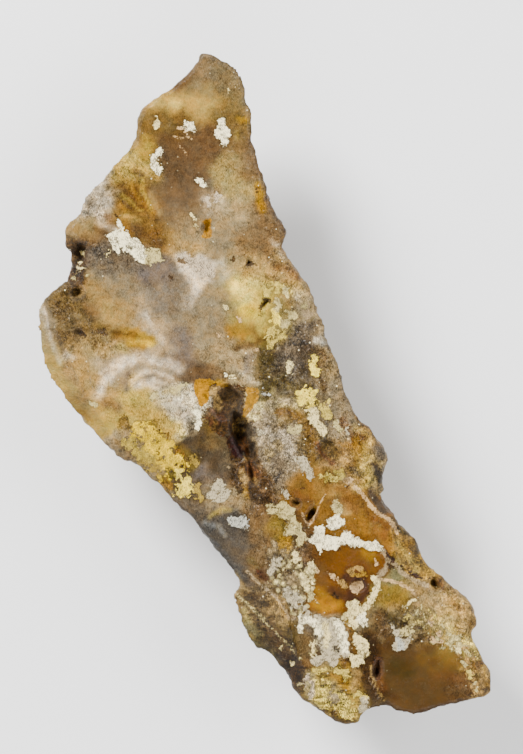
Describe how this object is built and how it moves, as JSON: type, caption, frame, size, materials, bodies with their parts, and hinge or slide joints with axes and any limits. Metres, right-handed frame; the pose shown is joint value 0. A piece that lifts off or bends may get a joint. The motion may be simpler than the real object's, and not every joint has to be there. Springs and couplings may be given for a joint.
{
  "type": "faced rough plume agate",
  "caption": "Broken, pointed piece of vein agate with one flat sawn face, a bevel, pits and a hollow in the face, a crusty edge, and a lumpy back with a small worn flat that it rests on.",
  "frame": {"origin": "under the middle of the stone's box, on the surface that it rests on", "axes": "+Z is the outward normal of the sawn face, which looks up; +Y runs along the stone to its pointed tip; +X is to the right of the tip seen from above the face"},
  "size_m": [0.0907, 0.1344, 0.024],
  "materials": {
    "agate": "cloudy chalcedony with cream, white and golden plumes: the sawn face is smooth and half glossy, the broken back rough and dull"
  },
  "bodies": {
    "root": {"faced_plume_agate": "agate"}
  },
  "joints": []
}
